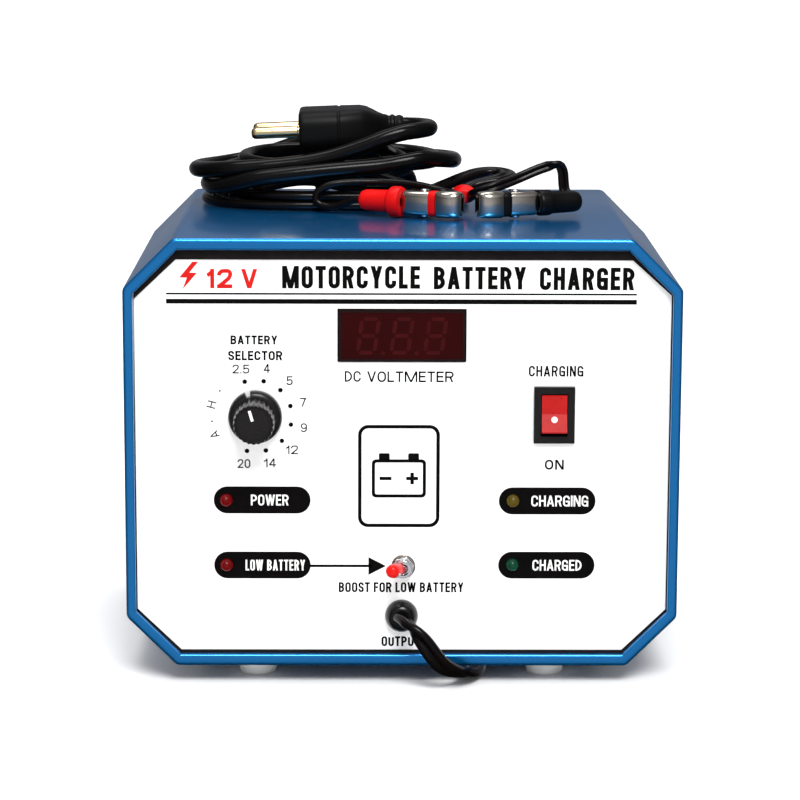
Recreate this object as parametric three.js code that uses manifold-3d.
// Bench charger for motorcycle batteries, with its mains lead and clip lead laid on top.
// Millimetres. +X to the right of the control panel, +Y towards the rear, +Z up.
// The origin is under the middle of the case, on the surface that the feet stand on.
import * as THREE from 'three';
import { mergeVertices } from 'three/addons/utils/BufferGeometryUtils.js';
import Module from 'manifold-3d';

const wasm = await Module();
wasm.setup();

// ---- driving dimensions ----
const CASE_WIDTH = 204;
const CASE_HEIGHT = 160;
const CASE_DEPTH = 155;
const CHAMFER = 18.5;
const SHEET = 1.2;
const FOOT_HEIGHT = 7;
const FOOT_X = 54;
const FOOT_Y = 59;
const LIP = 3.6;          // width of the returned edge round each open end
const LIP_RETURN = 3.2;   // how far that edge runs back inside
const RECESS = 3.5;       // panel face behind the lip
const PANEL_INSET = 1.6;  // panel edge inside the outline of the case
const FLANGE = 32;        // side flanges of both panels
const GAP = 0.3;          // between pieces that touch
const PROUD = 13.5;       // knob in front of the lip, fuse cap behind the rear lip

const FRONT = -CASE_DEPTH / 2;
const TOP = FOOT_HEIGHT + CASE_HEIGHT;
const FACE = FRONT + RECESS;         // front of the control panel
const BEHIND = FACE + SHEET + GAP;   // where things behind the control panel start
const REAR_FACE = -FACE;             // outside of the rear panel
const SCREW_Z = FOOT_HEIGHT + CASE_HEIGHT / 2;
const SCREW_Y = CASE_DEPTH / 2 - RECESS - SHEET - FLANGE * 0.75;

// Controls on the front panel: x from the middle, z above the underside of the case.
const VOLTMETER = { x: -0.3, z: 124, width: 46.4, height: 19 };
const SELECTOR = { x: -54, z: 93.9 };
const ROCKER = { x: 55.7, z: 94.7, width: 15, height: 21, rest: -9 };
const BOOST = { x: 0.5, z: 37.3, lean: -15 };
const OUTPUT = { x: -0.1, z: 18.6 };
const LEDS = {
  led_power: { x: -64.9, z: 62.3, color: 0x8c1512 },
  led_low_battery: { x: -64.9, z: 37.7, color: 0x7a1210 },
  led_charging: { x: 40.9, z: 62.2, color: 0xa88a18 },
  led_charged: { x: 40.9, z: 37.9, color: 0x0f6a45 },
};
const MAINS = { x: -30, z: 60 };
const FUSE = { x: 40, z: 60 };

// Leads laid on the top face. Heights in these are above the top face.
const MAINS_RADIUS = 3.15;
const OUTPUT_RADIUS = 1.75;
const LEAD_RADIUS = 1.5;
const HANK_Y = 31.5;
const HANK_SLOPE = 0.1;
const OUTPUT_HANK = { left: -38, right: -3, inner: 16.2, outer: 30.4 };
const MAINS_HANK = { left: -53.5, right: -6, inner: 16.4, outer: 30 };
const PLUG = { x: -40, y: HANK_Y, z: 29, tilt: 2.5, half: 16, thick: 16, pin: 2.3, pitch: 19 };
const CLIPS = {
  red: { x: -16.9, y: -5.4, turn: -26, flipped: false, color: 0xd8100c },
  black: { x: 69.8, y: -8.7, turn: 200.9, flipped: true, color: 0x0b0b0c },
};
const CLIP_PIVOT = 29;    // from the tail of a clip
const CLIP_MIDDLE = 6;    // its middle above the top face

// Uncoiled routes: x, y, z of the middle of the cord.
const OUTPUT_ROUTE = [
  [-0.1, -80.1, 25.6], [0.6, -84, 25.2], [2.8, -88.2, 23], [6, -90.2, 18.4], [9.5, -90, 12.6],
  [13.2, -87.4, 7], [17.4, -83, 3.4], [21.4, -77.4, 2.2], [24.8, -69, 2.1], [26.6, -56, 2.1],
  [26, -36, 2.1], [23, -12, 2.1], [18, 14, 2.1], [12, 40, 2.1], [7.5, 62, 2.1], [5.5, 76, 2.1],
  [5, 87, 3.6], [5, 96, 9.6], [5, 98.6, 19], [5, 96, 36], [5, 90.5, 62], [5, 86.5, 92],
  [5, 84.4, 120], [5, 83.6, 144], [4.8, 82.8, 157], [4.2, 80, 167.2], [2.6, 74.8, 173.2],
  [-0.6, 69, 174.6], [-5.2, 64.6, 174],
];
const MAINS_ROUTE = [
  [-30, 98.4, 67], [-30, 105, 67.6], [-30, 113, 70.8], [-30, 119.5, 77], [-30, 123, 86],
  [-30, 123.4, 97], [-30, 120.6, 109], [-30, 115, 122], [-30, 107.6, 136], [-30.4, 100.4, 150],
  [-31.4, 94, 162], [-33.4, 87.6, 172], [-37, 80.6, 179], [-42, 73, 182], [-48, 66.6, 181.6],
];
const RED_ROUTE = [
  [22.6, -5.4, 173.8], [22.3, -7.8, 174.2], [20.6, -10.2, 175.2], [17.6, -11.2, 176.6],
  [13.5, -10.4, 178.2], [8, -8.4, 179.8], [1, -6, 181], [-7, -4, 181.4], [-15, -2.7, 181.6],
  [-22, -2.3, 181.4], [-28.4, -2.2, 180], [-32.8, -2, 176.6], [-33.2, -1.9, 172.8],
  [-30.4, -2.2, 169.9], [-26.4, -3.6, 169.6], [-22.8, -5.4, 171.2], [-19.6, -6.9, 172.8],
];
const BLACK_ROUTE = [
  [26.2, -5.4, 173.8], [27.2, -8.6, 174.8], [30.2, -11, 176.2], [34.8, -11, 177.8],
  [40.4, -8.8, 179.6], [46.4, -6.4, 181.8], [52.4, -5, 184.2], [57.6, -4.8, 185.4],
  [61.6, -5.8, 184.6], [63.9, -7.6, 182], [64.6, -10.2, 178.6],
];

// ---- solids ----
const DEG = Math.PI / 180;
const group = new THREE.Group();

// Closed, indexed copy of a geometry with its faces pointing out.
function closed(geometry) {
  const bare = geometry.clone();
  bare.deleteAttribute('normal');
  bare.deleteAttribute('uv');
  const merged = mergeVertices(bare, 1e-4);
  const p = merged.getAttribute('position');
  const index = Array.from(merged.index.array);
  const kept = [];
  let volume = 0;
  const [a, b, c] = [new THREE.Vector3(), new THREE.Vector3(), new THREE.Vector3()];
  for (let i = 0; i < index.length; i += 3) {
    const corners = index.slice(i, i + 3);
    if (new Set(corners).size === 3) {
      kept.push(...corners);
      a.fromBufferAttribute(p, corners[0]);
      b.fromBufferAttribute(p, corners[1]);
      c.fromBufferAttribute(p, corners[2]);
      volume += a.dot(b.cross(c));
    }
  }
  if (volume < 0) {
    kept.reverse();
  }
  merged.setIndex(kept);
  return merged;
}

function toManifold(geometry) {
  const mesh = closed(geometry);
  return new wasm.Manifold(new wasm.Mesh({
    numProp: 3,
    vertProperties: new Float32Array(mesh.getAttribute('position').array),
    triVerts: new Uint32Array(mesh.index.array),
  }));
}

function toGeometry(manifold) {
  const mesh = manifold.getMesh();
  const geometry = new THREE.BufferGeometry();
  geometry.setAttribute('position', new THREE.BufferAttribute(mesh.vertProperties, 3));
  geometry.setIndex(new THREE.BufferAttribute(mesh.triVerts, 1));
  return geometry;
}

function join(first, ...rest) {
  return toGeometry(rest.reduce((sum, g) => sum.add(toManifold(g)), toManifold(first)));
}

function cut(body, ...tools) {
  return toGeometry(tools.reduce((sum, g) => sum.subtract(toManifold(g)), toManifold(body)));
}

function add(name, geometry, color, roughness, metalness = 0, parent = group) {
  const material = new THREE.MeshStandardMaterial({ color, roughness, metalness });
  const mesh = new THREE.Mesh(closed(geometry), material);
  mesh.name = name;
  parent.add(mesh);
  return mesh;
}

// Box from its lowest corner to its highest.
function block(x0, y0, z0, x1, y1, z1) {
  const box = new THREE.BoxGeometry(x1 - x0, y1 - y0, z1 - z0);
  return box.translate((x0 + x1) / 2, (y0 + y1) / 2, (z0 + z1) / 2);
}

// Turned piece about an axis parallel to Y, X or Z; the profile is [radius, distance] pairs.
function turned(profile, sides, axis, x = 0, y = 0, z = 0) {
  const lathe = new THREE.LatheGeometry(profile.map(([r, d]) => new THREE.Vector2(r, d)), sides);
  if (axis === 'x') {
    lathe.rotateZ(-Math.PI / 2);
  } else if (axis === 'z') {
    lathe.rotateX(Math.PI / 2);
  }
  return lathe.translate(x, y, z);
}

function rod(radius, from, to, sides, axis, x, y, z) {
  return turned([[0, from], [radius, from], [radius, to], [0, to]], sides, axis, x, y, z);
}

function tube(inner, outer, from, to, sides, axis, x, y, z) {
  const wall = [[inner, from], [outer, from], [outer, to], [inner, to], [inner, from]];
  return turned(wall, sides, axis, x, y, z);
}

function outline(points) {
  return new THREE.Shape(points.map(([u, v]) => new THREE.Vector2(u, v)));
}

// Plate drawn in x and z, from the y of its front face backwards.
function plate(shape, front, thickness) {
  const flat = new THREE.ExtrudeGeometry(shape, { depth: thickness, bevelEnabled: false });
  return flat.rotateX(Math.PI / 2).translate(0, front + thickness, 0);
}

function cord(route, radius, sides, steps) {
  const path = new THREE.CatmullRomCurve3(route.map((p) => new THREE.Vector3(...p)));
  const section = outline(ring(radius, sides));
  return new THREE.ExtrudeGeometry(section, { steps, extrudePath: path, bevelEnabled: false });
}

function ring(radius, sides, x = 0, y = 0) {
  const turn = (i) => (2 * Math.PI * i) / sides;
  return Array.from({ length: sides }, (_, i) => (
    [x + radius * Math.cos(turn(i)), y + radius * Math.sin(turn(i))]));
}

// ---- case ----
// Corners of the case outline, moved inwards by an inset.
function octagon(inset) {
  const w = CASE_WIDTH / 2 - inset;
  const low = FOOT_HEIGHT + inset;
  const high = TOP - inset;
  const leg = CHAMFER - inset * (2 - Math.SQRT2);
  return [
    [w - leg, low], [w, low + leg], [w, high - leg], [w - leg, high],
    [leg - w, high], [-w, high - leg], [-w, low + leg], [leg - w, low],
  ];
}

// Closed wall made by carrying a profile of [inset, y] points round the octagon.
function octagonWall(profile) {
  const positions = [];
  const index = [];
  for (const [inset, y] of profile) {
    for (const [x, z] of octagon(inset)) {
      positions.push(x, y, z);
    }
  }
  const rings = profile.length;
  for (let k = 0; k < rings; k += 1) {
    for (let j = 0; j < 8; j += 1) {
      const a = k * 8 + j;
      const b = k * 8 + ((j + 1) % 8);
      const c = ((k + 1) % rings) * 8 + j;
      const d = ((k + 1) % rings) * 8 + ((j + 1) % 8);
      index.push(a, b, c, b, d, c);
    }
  }
  const geometry = new THREE.BufferGeometry();
  geometry.setAttribute('position', new THREE.Float32BufferAttribute(positions, 3));
  geometry.setIndex(index);
  return geometry;
}

function lipProfile() {
  const bend = (radius, cx, cy, start, steps) => Array.from({ length: steps + 1 }, (_, i) => {
    const angle = (start + (90 * i) / steps) * DEG;
    return [cx + radius * Math.cos(angle), cy + radius * Math.sin(angle)];
  });
  const outer = 1.8;
  const inner = 1.2;
  return [
    ...bend(outer, outer, FRONT + outer, 180, 4),
    ...bend(inner, LIP - inner, FRONT + inner, 270, 3),
    [LIP, FRONT + LIP_RETURN],
    [LIP - SHEET, FRONT + LIP_RETURN],
    [LIP - SHEET, FRONT + SHEET],
    [SHEET, FRONT + SHEET],
  ];
}

function addCase() {
  const front = lipProfile();
  const rear = front.map(([inset, y]) => [inset, -y]).reverse();
  const screwHole = (x, y) => rod(2.1, -8, 8, 12, 'x', x, y, SCREW_Z);
  const holes = [];
  for (const x of [-CASE_WIDTH / 2, CASE_WIDTH / 2]) {
    holes.push(screwHole(x, -SCREW_Y), screwHole(x, SCREW_Y));
  }
  add('case_wrap', cut(octagonWall([...front, ...rear]), ...holes), 0x1b75bc, 0.25, 0.1);

  for (const [row, y] of [['front', -FOOT_Y], ['rear', FOOT_Y]]) {
    for (const [side, x] of [['left', -FOOT_X], ['right', FOOT_X]]) {
      const seat = FOOT_HEIGHT - GAP / 3;
      const foot = [[0, 0], [6.2, 0], [6.7, 0.6], [8.25, seat], [0, seat]];
      add(`foot_${row}_${side}`, turned(foot, 20, 'z', x, y, 0), 0xe6e6e4, 0.5);
    }
  }

  for (const [row, y] of [['front', -SCREW_Y], ['rear', SCREW_Y]]) {
    for (const [side, sign] of [['left', -1], ['right', 1]]) {
      const seat = CASE_WIDTH / 2 + GAP / 2;
      const screw = [
        [0, seat - 10], [1.6, seat - 9], [1.6, seat], [3.3, seat], [3, seat + 1.5], [0, seat + 2],
      ];
      const geometry = turned(screw.map(([r, d]) => [r, sign * d]), 12, 'x', 0, y, SCREW_Z);
      add(`side_screw_${row}_${side}`, geometry, 0xb9bcc0, 0.3, 0.9);
    }
  }
}

// Octagonal panel with side flanges turned towards the middle of the case.
function panel(front, inward, holes) {
  const shape = outline(octagon(PANEL_INSET));
  for (const hole of holes) {
    shape.holes.push(new THREE.Path(hole.map(([x, z]) => new THREE.Vector2(x, z))));
  }
  const pieces = [plate(shape, front, SHEET)];
  const edge = CASE_WIDTH / 2 - PANEL_INSET;
  const reach = inward * (FLANGE + SHEET / 2);
  const start = front + SHEET / 2;
  const low = FOOT_HEIGHT + CHAMFER + 8;
  const high = TOP - CHAMFER - 8;
  for (const side of [-1, 1]) {
    const xs = [side * edge, side * (edge - SHEET)].sort((m, n) => m - n);
    const ys = [start, start + reach].sort((m, n) => m - n);
    pieces.push(block(xs[0], ys[0], low, xs[1], ys[1], high));
  }
  const drill = (side) => rod(2, edge - 5, edge + 5, 12, 'x', 0, -inward * SCREW_Y, SCREW_Z)
    .applyMatrix4(new THREE.Matrix4().makeScale(side, 1, 1));
  return cut(join(...pieces), drill(1), drill(-1));
}

function rectangle(x, z, width, height) {
  const [w, h] = [width / 2, height / 2];
  return [[x - w, z - h], [x + w, z - h], [x + w, z + h], [x - w, z + h]];
}

function addPanels() {
  const up = FOOT_HEIGHT;
  const holes = [
    rectangle(VOLTMETER.x, VOLTMETER.z + up, VOLTMETER.width + 0.8, VOLTMETER.height + 0.8),
    rectangle(ROCKER.x, ROCKER.z + up, 13.6, 19.6),
    ring(5, 20, SELECTOR.x, SELECTOR.z + up),
    ring(3.5, 16, BOOST.x, BOOST.z + up),
    ring(4.9, 20, OUTPUT.x, OUTPUT.z + up),
    ...Object.values(LEDS).map(({ x, z }) => ring(2.9, 16, x, z + up)),
  ];
  add('front_panel', panel(FACE, 1, holes), 0xf4f4f2, 0.45);

  const vents = Array.from({ length: 6 }, (_, i) => rectangle(0, 112 + 6 * i, 90, 2.8));
  const glandHole = ring(6.2, 20, MAINS.x, MAINS.z + up);
  const fuseHole = ring(6.4, 20, FUSE.x, FUSE.z + up);
  const rearHoles = [glandHole, fuseHole, ...vents];
  add('rear_panel', panel(REAR_FACE - SHEET, -1, rearHoles), 0xe9e9e6, 0.5);
}

// ---- front controls ----
function addVoltmeter() {
  const { x, width, height } = VOLTMETER;
  const z = VOLTMETER.z + FOOT_HEIGHT;
  const [w, h] = [width / 2, height / 2];
  const shell = block(x - w - 2.3, BEHIND, z - h - 2.3, x + w + 2.3, BEHIND + 16, z + h + 2.3);
  const room = block(x - w - 0.8, BEHIND - 1, z - h - 0.8, x + w + 0.8, BEHIND + 14.5, z + h + 0.8);
  add('voltmeter_housing', cut(shell, room), 0x141414, 0.5);
  add('voltmeter_display', block(x - 19, BEHIND + 5, z - 9, x + 19, BEHIND + 14, z + 9), 0x2a0a0c, 0.6);
  add('voltmeter_lens', block(x - w, FACE - 0.8, z - h, x + w, FACE + 2, z + h), 0x4a070b, 0.1);
}

function addSelector() {
  const { x } = SELECTOR;
  const z = SELECTOR.z + FOOT_HEIGHT;
  const bushing = FACE - 3.2;
  const body = [
    [0, BEHIND + 15], [13, BEHIND + 15], [13, BEHIND], [4.7, BEHIND], [4.7, bushing],
    [3.4, bushing], [3.4, BEHIND + 8], [0, BEHIND + 8],
  ];
  add('selector_switch', turned(body, 28, 'y', x, 0, z), 0x6d5a3c, 0.6);
  add('selector_nut', cut(rod(6.8, FACE - 2.4, FACE - 0.2, 6, 'y', x, 0, z),
    rod(5.1, FACE - 3, FACE, 20, 'y', x, 0, z)), 0xb9bcc0, 0.3, 0.9);
  const tip = FRONT - PROUD;
  add('selector_shaft', rod(3, tip + 3.5, BEHIND + 7.5, 16, 'y', x, 0, z), 0xc8c8c4, 0.35, 0.9);
  const knob = [
    [0, tip], [6.9, tip], [7.5, tip + 0.8], [7.65, tip + 11.6], [9.5, tip + 12.6],
    [9.7, tip + 15.8], [7.6, tip + 15.8], [7.6, tip + 12.4], [3.3, tip + 12.4],
    [3.3, tip + 3.2], [0, tip + 3.2],
  ];
  add('selector_knob', turned(knob, 32, 'y', x, 0, z), 0x101011, 0.35);
}

// Rocker switch: the paddle is drawn level, then tipped so that its lower half stands out.
function addRocker() {
  const { x, width, height } = ROCKER;
  const z = ROCKER.z + FOOT_HEIGHT;
  const [w, h] = [width / 2, height / 2];
  const bezel = block(x - w, FACE - 1.9, z - h, x + w, FACE - 0.1, z + h);
  const body = block(x - 6.5, FACE - 0.6, z - 9.5, x + 6.5, FACE + 14, z + 9.5);
  const room = block(x - 4.95, FACE - 3, z - 7.9, x + 4.95, FACE + 9, z + 7.9);
  add('rocker_body', cut(join(bezel, body), room), 0x111112, 0.4);

  const pivot = FACE + 1;
  const side = outline([
    [-7, -3.9], [-6.6, -4.3], [0, -2.9], [6.6, -4.3], [7, -3.9], [5.4, 3.4], [-5.4, 3.4],
  ]);
  const paddle = new THREE.ExtrudeGeometry(side, { depth: 9.3, bevelEnabled: false });
  // Drawn as (z, y); the extrusion runs along x.
  paddle.applyMatrix4(new THREE.Matrix4().set(0, 0, 1, -4.65, 0, 1, 0, 0, 1, 0, 0, 0, 0, 0, 0, 1));
  paddle.rotateX(ROCKER.rest * DEG).translate(x, pivot, z);
  add('rocker_paddle', paddle, 0xb01312, 0.35);
}

function addBoost() {
  const { x, lean } = BOOST;
  const z = BOOST.z + FOOT_HEIGHT;
  const mouth = FACE - 6;
  const pivot = FACE - 3.5;
  const bushing = [
    [0, BEHIND + 1], [3.15, BEHIND + 1], [3.15, mouth], [2.3, mouth], [2.3, pivot + 2.4],
    [0, pivot + 2.4],
  ];
  const body = block(x - 6.4, BEHIND, z - 3.5, x + 6.4, BEHIND + 10, z + 3.5);
  add('boost_switch', join(turned(bushing, 16, 'y', x, 0, z), body), 0x8d9094, 0.35, 0.6);
  add('boost_nut', cut(rod(4.6, FACE - 2.4, FACE - 0.2, 6, 'y', x, 0, z),
    rod(3.5, FACE - 3, FACE, 16, 'y', x, 0, z)), 0xc5c8cc, 0.2, 1);

  const arm = new THREE.Group();
  arm.position.set(x, pivot, z);
  arm.rotation.z = lean * DEG;
  group.add(arm);
  const lever = [[0, 1.8], [1.3, 1.3], [1.8, 0], [1.2, -1.3], [1.2, -10], [0, -10]];
  add('boost_lever', turned(lever, 12, 'y'), 0xc5c8cc, 0.2, 1, arm);
  const cap = [
    [1.5, -4], [2.4, -4], [2.5, -12], [1.8, -13], [0, -13.2], [0, -10.3], [1.5, -10.3], [1.5, -4],
  ];
  add('boost_cap', turned(cap, 20, 'y'), 0xd4150f, 0.3, 0, arm);
}

function addLeds() {
  for (const [name, { x, z, color }] of Object.entries(LEDS)) {
    const dome = [
      [0, FACE - 2.2], [1.4, FACE - 1.8], [2.2, FACE - 0.8], [2.5, FACE + 0.4], [2.5, BEHIND],
      [2.9, BEHIND], [2.9, BEHIND + 1], [2.5, BEHIND + 1], [2.5, BEHIND + 4], [0, BEHIND + 4],
    ];
    add(name, turned(dome, 16, 'y', x, 0, z + FOOT_HEIGHT), color, 0.15);
  }
}

// ---- inside ----
function addTransformer() {
  const [x, y, floor] = [-32, 14, FOOT_HEIGHT + SHEET + GAP];
  const [w, tall, leg, stack] = [33, 55, 11, 16.5];
  const laminations = block(x - w, y - stack, floor, x + w, y + stack, floor + tall);
  const slots = [x - w + leg, x + leg].map((start) => (
    block(start, y - 20, floor + leg, start + leg, y + 20, floor + tall - leg)));
  add('transformer_core', cut(laminations, ...slots), 0x55585c, 0.6, 0.7);

  const coil = outline(rectangle(x, y, 2 * (w - leg) - 1, 2 * stack + 20));
  coil.holes.push(new THREE.Path(rectangle(x, y, 2 * leg + 0.8, 2 * stack + 0.8)
    .map(([u, v]) => new THREE.Vector2(u, v))));
  const winding = new THREE.ExtrudeGeometry(coil, { depth: tall - 2 * leg - 1, bevelEnabled: false });
  add('transformer_winding', winding.translate(0, 0, floor + leg + 0.5), 0xa4622a, 0.5, 0.3);

  const [near, top] = [w + GAP, floor + tall + GAP];
  const strap = outline([
    [x - near - 13, floor], [x - near, floor], [x - near, top], [x + near, top], [x + near, floor],
    [x + near + 13, floor], [x + near + 13, floor + SHEET], [x + near + SHEET, floor + SHEET],
    [x + near + SHEET, top + SHEET], [x - near - SHEET, top + SHEET], [x - near - SHEET, floor + SHEET],
    [x - near - 13, floor + SHEET],
  ]);
  add('transformer_bracket', plate(strap, y - 10, 20), 0xb9bcc0, 0.35, 0.9);
}

function addElectronics() {
  const [x0, x1, y0, y1] = [16, 84, -44, 26];
  const floor = FOOT_HEIGHT + SHEET + GAP;
  const level = floor + 8;
  const posts = [[x0 + 5, y0 + 5], [x1 - 5, y0 + 5], [x0 + 5, y1 - 5], [x1 - 5, y1 - 5]]
    .map(([x, y]) => rod(3, floor, level + 0.5, 10, 'z', x, y, 0));
  add('control_board', join(block(x0, y0, level, x1, y1, level + 1.6), ...posts), 0x1d5a34, 0.5);
  const deck = level + 1.6 + GAP;
  add('filter_capacitor', rod(8, deck, deck + 27, 24, 'z', 32, -24, 0), 0x1c2f63, 0.35);

  const fins = [[50, deck], [80, deck], [80, deck + 30]];
  for (let x = 80; x > 54; x -= 5) {
    fins.push([x - 1.4, deck + 30], [x - 1.4, deck + 4], [x - 5, deck + 4], [x - 5, deck + 30]);
  }
  const heatSink = outline([...fins.slice(0, -2), [50, deck + 4]]);
  add('heat_sink', plate(heatSink, -10, 30), 0x9a9da2, 0.4, 0.9);
  add('bridge_rectifier', block(56, -24, deck, 72, -10.4, deck + 12), 0x161616, 0.5);
}

function addFuse() {
  const { x } = FUSE;
  const z = FUSE.z + FOOT_HEIGHT;
  const holder = [
    [0, 42], [6, 42], [6, REAR_FACE + 0.2], [7.6, REAR_FACE + 0.2], [7.6, REAR_FACE + 2.6],
    [3.8, REAR_FACE + 2.6], [3.8, 60], [0, 60],
  ];
  add('fuse_holder', turned(holder, 20, 'y', x, 0, z), 0x141414, 0.4);
  const tip = CASE_DEPTH / 2 + PROUD;
  const cap = [
    [0, 62], [3.3, 62], [3.3, REAR_FACE + 3], [6.4, REAR_FACE + 3], [6.4, tip - 1], [5.4, tip], [0, tip],
  ];
  const slot = block(x - 8, tip - 1.2, z - 0.7, x + 8, tip + 1, z + 0.7);
  add('fuse_cap', cut(turned(cap, 20, 'y', x, 0, z), slot), 0x17181a, 0.4);
}

// ---- leads ----
// Hank: a ring with straight sides between two flat heights that rise to the right.
function hank({ left, right, inner, outer }, low, high) {
  const stadium = (radius) => {
    const points = [];
    const steps = 12;
    for (let i = 0; i <= steps; i += 1) {
      const a = -Math.PI / 2 + (Math.PI * i) / steps;
      points.push([right + radius * Math.cos(a), HANK_Y + radius * Math.sin(a)]);
    }
    for (let i = 0; i <= steps; i += 1) {
      const a = Math.PI / 2 + (Math.PI * i) / steps;
      points.push([left + radius * Math.cos(a), HANK_Y + radius * Math.sin(a)]);
    }
    return points;
  };
  const shape = outline(stadium(outer));
  shape.holes.push(new THREE.Path(stadium(inner).map(([u, v]) => new THREE.Vector2(u, v))));
  const tall = new THREE.ExtrudeGeometry(shape, { depth: 60, bevelEnabled: false });
  const [x0, x1] = [-100, 60];
  const layer = outline([[x0, low(x0)], [x1, low(x1)], [x1, high(x1)], [x0, high(x0)]]);
  const wedge = plate(layer, -20, 100);
  return toGeometry(toManifold(tall.translate(0, 0, TOP - 10)).intersect(toManifold(wedge)));
}

function addHanks() {
  const outputHigh = (x) => TOP + 3.7 + (x + 70) * HANK_SLOPE;
  add('output_coil', hank(OUTPUT_HANK, () => TOP + GAP, outputHigh), 0x0c0c0d, 0.35);
  const mainsLow = (x) => outputHigh(x) + GAP;
  const mainsHigh = (x) => TOP + 15 + (x + 83) * 1.3 * HANK_SLOPE;
  add('mains_coil', hank(MAINS_HANK, mainsLow, mainsHigh), 0x0a0a0b, 0.3);
}

// Two-pin plug lying flat. Its own x runs from the pin face to the cord, y is its width.
function addPlug() {
  const { x, y, z, tilt, half, thick, pin, pitch } = PLUG;
  const plug = new THREE.Group();
  plug.position.set(x, y, TOP + z);
  plug.rotation.y = -tilt * DEG;
  group.add(plug);
  const mirrored = (edge) => outline([...edge, ...edge.map(([u, v]) => [u, -v]).reverse()]);
  const plan = mirrored([[0, half], [24, half - 1.5], [31, 9], [35, 4.4]]);
  const side = mirrored([[0, thick / 2], [26, thick / 2], [33, 4.4], [35, 4.4]]);
  const slab = new THREE.ExtrudeGeometry(plan, { depth: thick, bevelEnabled: false });
  const body = toManifold(slab.translate(0, 0, -thick / 2))
    .intersect(toManifold(plate(side, -half, 2 * half)));
  const tail = turned([[0, 33], [4.2, 33], [3.4, 41], [0, 41]], 12, 'x');
  add('plug_body', join(toGeometry(body), tail), 0x0b0b0c, 0.4, 0, plug);
  for (const [name, across] of [['plug_pin_front', -pitch / 2], ['plug_pin_rear', pitch / 2]]) {
    const profile = [[0, -GAP], [pin, -GAP], [pin, -17.6], [pin - 0.9, -18.8], [0, -18.8]];
    add(name, turned(profile, 14, 'x', 0, across, 0), 0xc9a45a, 0.25, 1, plug);
  }
}

function addStrainReliefs() {
  const bush = [
    [0, FACE - 5.4], [3.4, FACE - 5], [5.2, FACE - 3.2], [6.05, FACE - 1.2], [6.05, FACE - 0.2],
    [4.6, FACE - 0.2], [4.6, BEHIND - 0.1], [5.8, BEHIND], [4.4, BEHIND + 5], [0, BEHIND + 5],
  ];
  add('output_grommet', turned(bush, 24, 'y', OUTPUT.x, 0, OUTPUT.z + FOOT_HEIGHT), 0x0a0a0b, 0.3);
  const boot = [
    [0, REAR_FACE - 4], [6.8, REAR_FACE - 4], [6.8, REAR_FACE - 1.5], [5.8, REAR_FACE - 1.5],
    [5.8, REAR_FACE + 0.2], [8.2, REAR_FACE + 0.2], [8.2, REAR_FACE + 3], [5.8, REAR_FACE + 3.4],
    [4.2, 98], [0, 98],
  ];
  add('mains_gland', turned(boot, 20, 'y', MAINS.x, 0, MAINS.z + FOOT_HEIGHT), 0x0a0a0b, 0.4);
}

function addLeads() {
  add('output_cord', cord(OUTPUT_ROUTE, OUTPUT_RADIUS, 8, 56), 0x0c0c0d, 0.35);
  add('mains_cord', cord(MAINS_ROUTE, MAINS_RADIUS, 10, 16), 0x0a0a0b, 0.3);
  add('red_lead', cord(RED_ROUTE, LEAD_RADIUS, 8, 26), 0x0c0c0d, 0.35);
  add('black_lead', cord(BLACK_ROUTE, LEAD_RADIUS, 8, 16), 0x0c0c0d, 0.35);
  const oval = new THREE.Shape();
  oval.absellipse(24.3, TOP + 6.8, 4.4, 2.9, 0, 2 * Math.PI);
  const flat = new THREE.ExtrudeGeometry(oval, { depth: 15, bevelEnabled: false, curveSegments: 10 });
  add('split_sleeve', flat.rotateX(Math.PI / 2).translate(0, 10.5, 0), 0xc8100c, 0.4);
}

// Clip lying on its side. Its own x runs from tail to jaw, y towards the moving jaw, z is the
// axis of the rivet, measured from the middle of the clip.
function armPlates(points, low, high) {
  const depth = 0.8;
  return [low, high - depth].map((z) => (
    new THREE.ExtrudeGeometry(outline(points), { depth, bevelEnabled: false }).translate(0, 0, z)));
}

function spine(points, thickness, low, high) {
  const inside = points.map(([u, v]) => [u, v + thickness]).reverse();
  const shape = outline([...points, ...inside]);
  return new THREE.ExtrudeGeometry(shape, { depth: high - low, bevelEnabled: false }).translate(0, 0, low);
}

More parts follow.
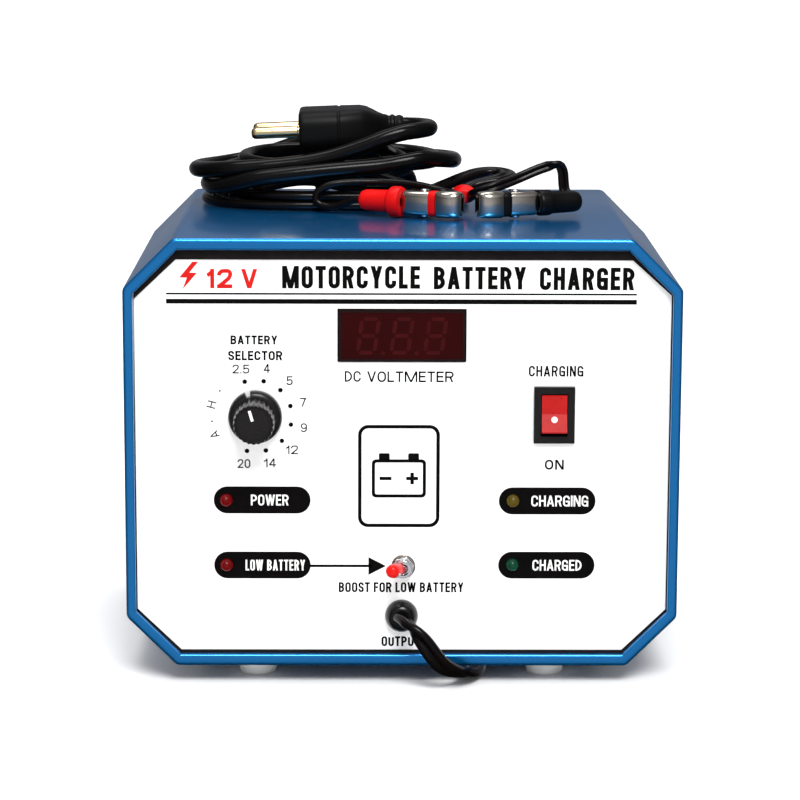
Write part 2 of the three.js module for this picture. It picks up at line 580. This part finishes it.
function addClip(name, { x, y, turn, flipped, color }) {
  const clip = new THREE.Group();
  clip.position.set(x, y, TOP + CLIP_MIDDLE);
  clip.rotation.set(flipped ? Math.PI : 0, 0, turn * DEG, 'ZYX');
  group.add(clip);
  const steel = [0xb8bbbf, 0.25, 1, clip];
  const hole = rod(1.7, -10, 10, 12, 'z', CLIP_PIVOT, 0, 0);

  const back = [[20.5, -5.4], [CLIP_PIVOT, -6], [36, -5], [44, -2.6]];
  const cheek = [...back, [44, -0.2], [33, -0.2], [31.6, 2.4], [29, 3.3], [26.4, 2.4], [20.5, 0.4]];
  const tongue = block(4, -3.8, -2, 22, -1.4, 2);
  const web = block(20.7, -5, -4.2, 21.6, 0.2, 4.2);
  const fixed = join(spine(back, 0.9, -4.5, 4.5), ...armPlates(cheek, -4.5, 4.5), tongue, web);
  add(`clip_${name}_fixed_arm`, cut(fixed, hole), ...steel);

  const lever = [[44, 2.6], [36, 5], [CLIP_PIVOT, 6], [22, 8.4], [14.5, 11.2]];
  const jawCheek = [
    [44, 0.2], [44, 2.6], [36, 5], [CLIP_PIVOT, 6], [22, 8.4], [24.5, 2], [26.4, -2.4], [29, -3.3],
    [31.6, -2.4], [33, 0.2],
  ];
  const moving = join(spine(lever, -0.9, -3.4, 3.4), ...armPlates(jawCheek, -3.4, 3.4));
  add(`clip_${name}_moving_jaw`, cut(moving, hole), ...steel);

  const rivet = [
    [0, -5.2], [2.2, -5.2], [2.2, -4.8], [1.35, -4.8], [1.35, 4.8], [2.2, 4.8], [2, 5.3], [0, 5.5],
  ];
  add(`clip_${name}_rivet`, turned(rivet, 12, 'z', CLIP_PIVOT, 0, 0), ...steel);
  add(`clip_${name}_spring`, tube(1.75, 2.7, -2.2, 2.2, 12, 'z', CLIP_PIVOT, 0, 0), 0x8d9094, 0.3, 1, clip);

  const boot = [
    [0, -1], [3.9, -1], [4.85, 0], [4.85, 17], [5.6, 18.6], [5.6, 20.2], [3.1, 20.2], [3.1, 1.5],
    [0, 1.5],
  ];
  add(`clip_${name}_boot`, turned(boot, 20, 'x', 0, -2.6, 0), color, 0.45, 0, clip);
}

addCase();
addPanels();
addVoltmeter();
addSelector();
addRocker();
addBoost();
addLeds();
addTransformer();
addElectronics();
addFuse();
addStrainReliefs();
addLeads();
addHanks();
addPlug();
for (const [name, placing] of Object.entries(CLIPS)) {
  addClip(name, placing);
}

export default group;
